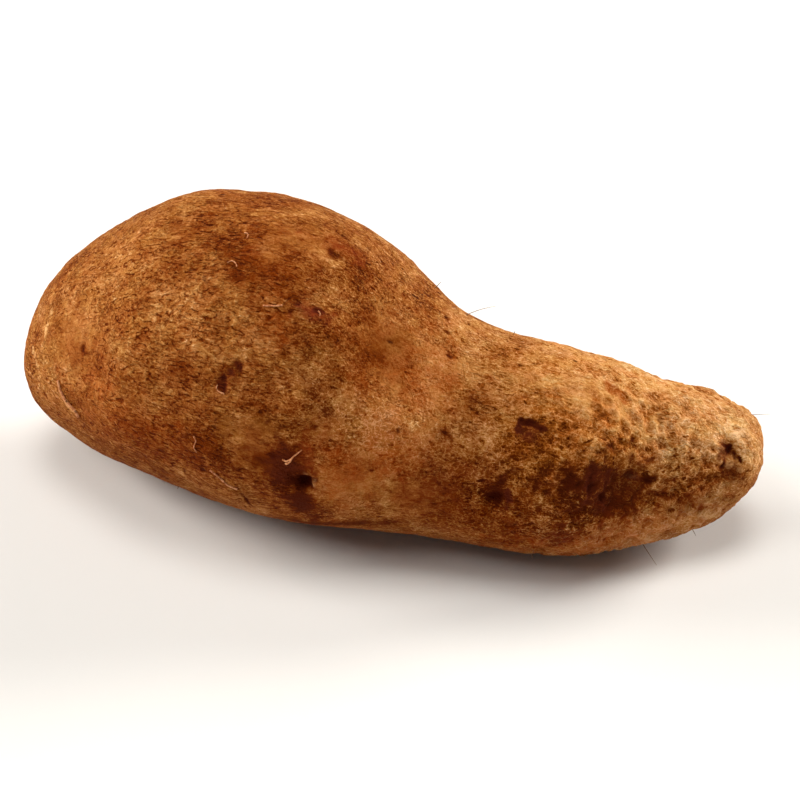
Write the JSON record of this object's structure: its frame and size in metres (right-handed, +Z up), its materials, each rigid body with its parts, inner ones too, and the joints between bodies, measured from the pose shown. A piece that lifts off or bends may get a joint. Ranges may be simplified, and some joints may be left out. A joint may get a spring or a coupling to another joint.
{
  "type": "yam tuber",
  "caption": "Large yam tuber lying on its side: fat rounded head, soft waist and a tapering, warty tail with a blunt tip, brown corky skin.",
  "frame": {"origin": "middle of the tuber's box, on the surface it lies on", "axes": "+X along the tuber from the fat head towards the warty tip, +Y towards the unseen back, +Z up"},
  "size_m": [0.265, 0.1152, 0.1105],
  "materials": {
    "corky_skin": null
  },
  "bodies": {
    "root": {"yam_tuber": "corky_skin"}
  },
  "joints": []
}
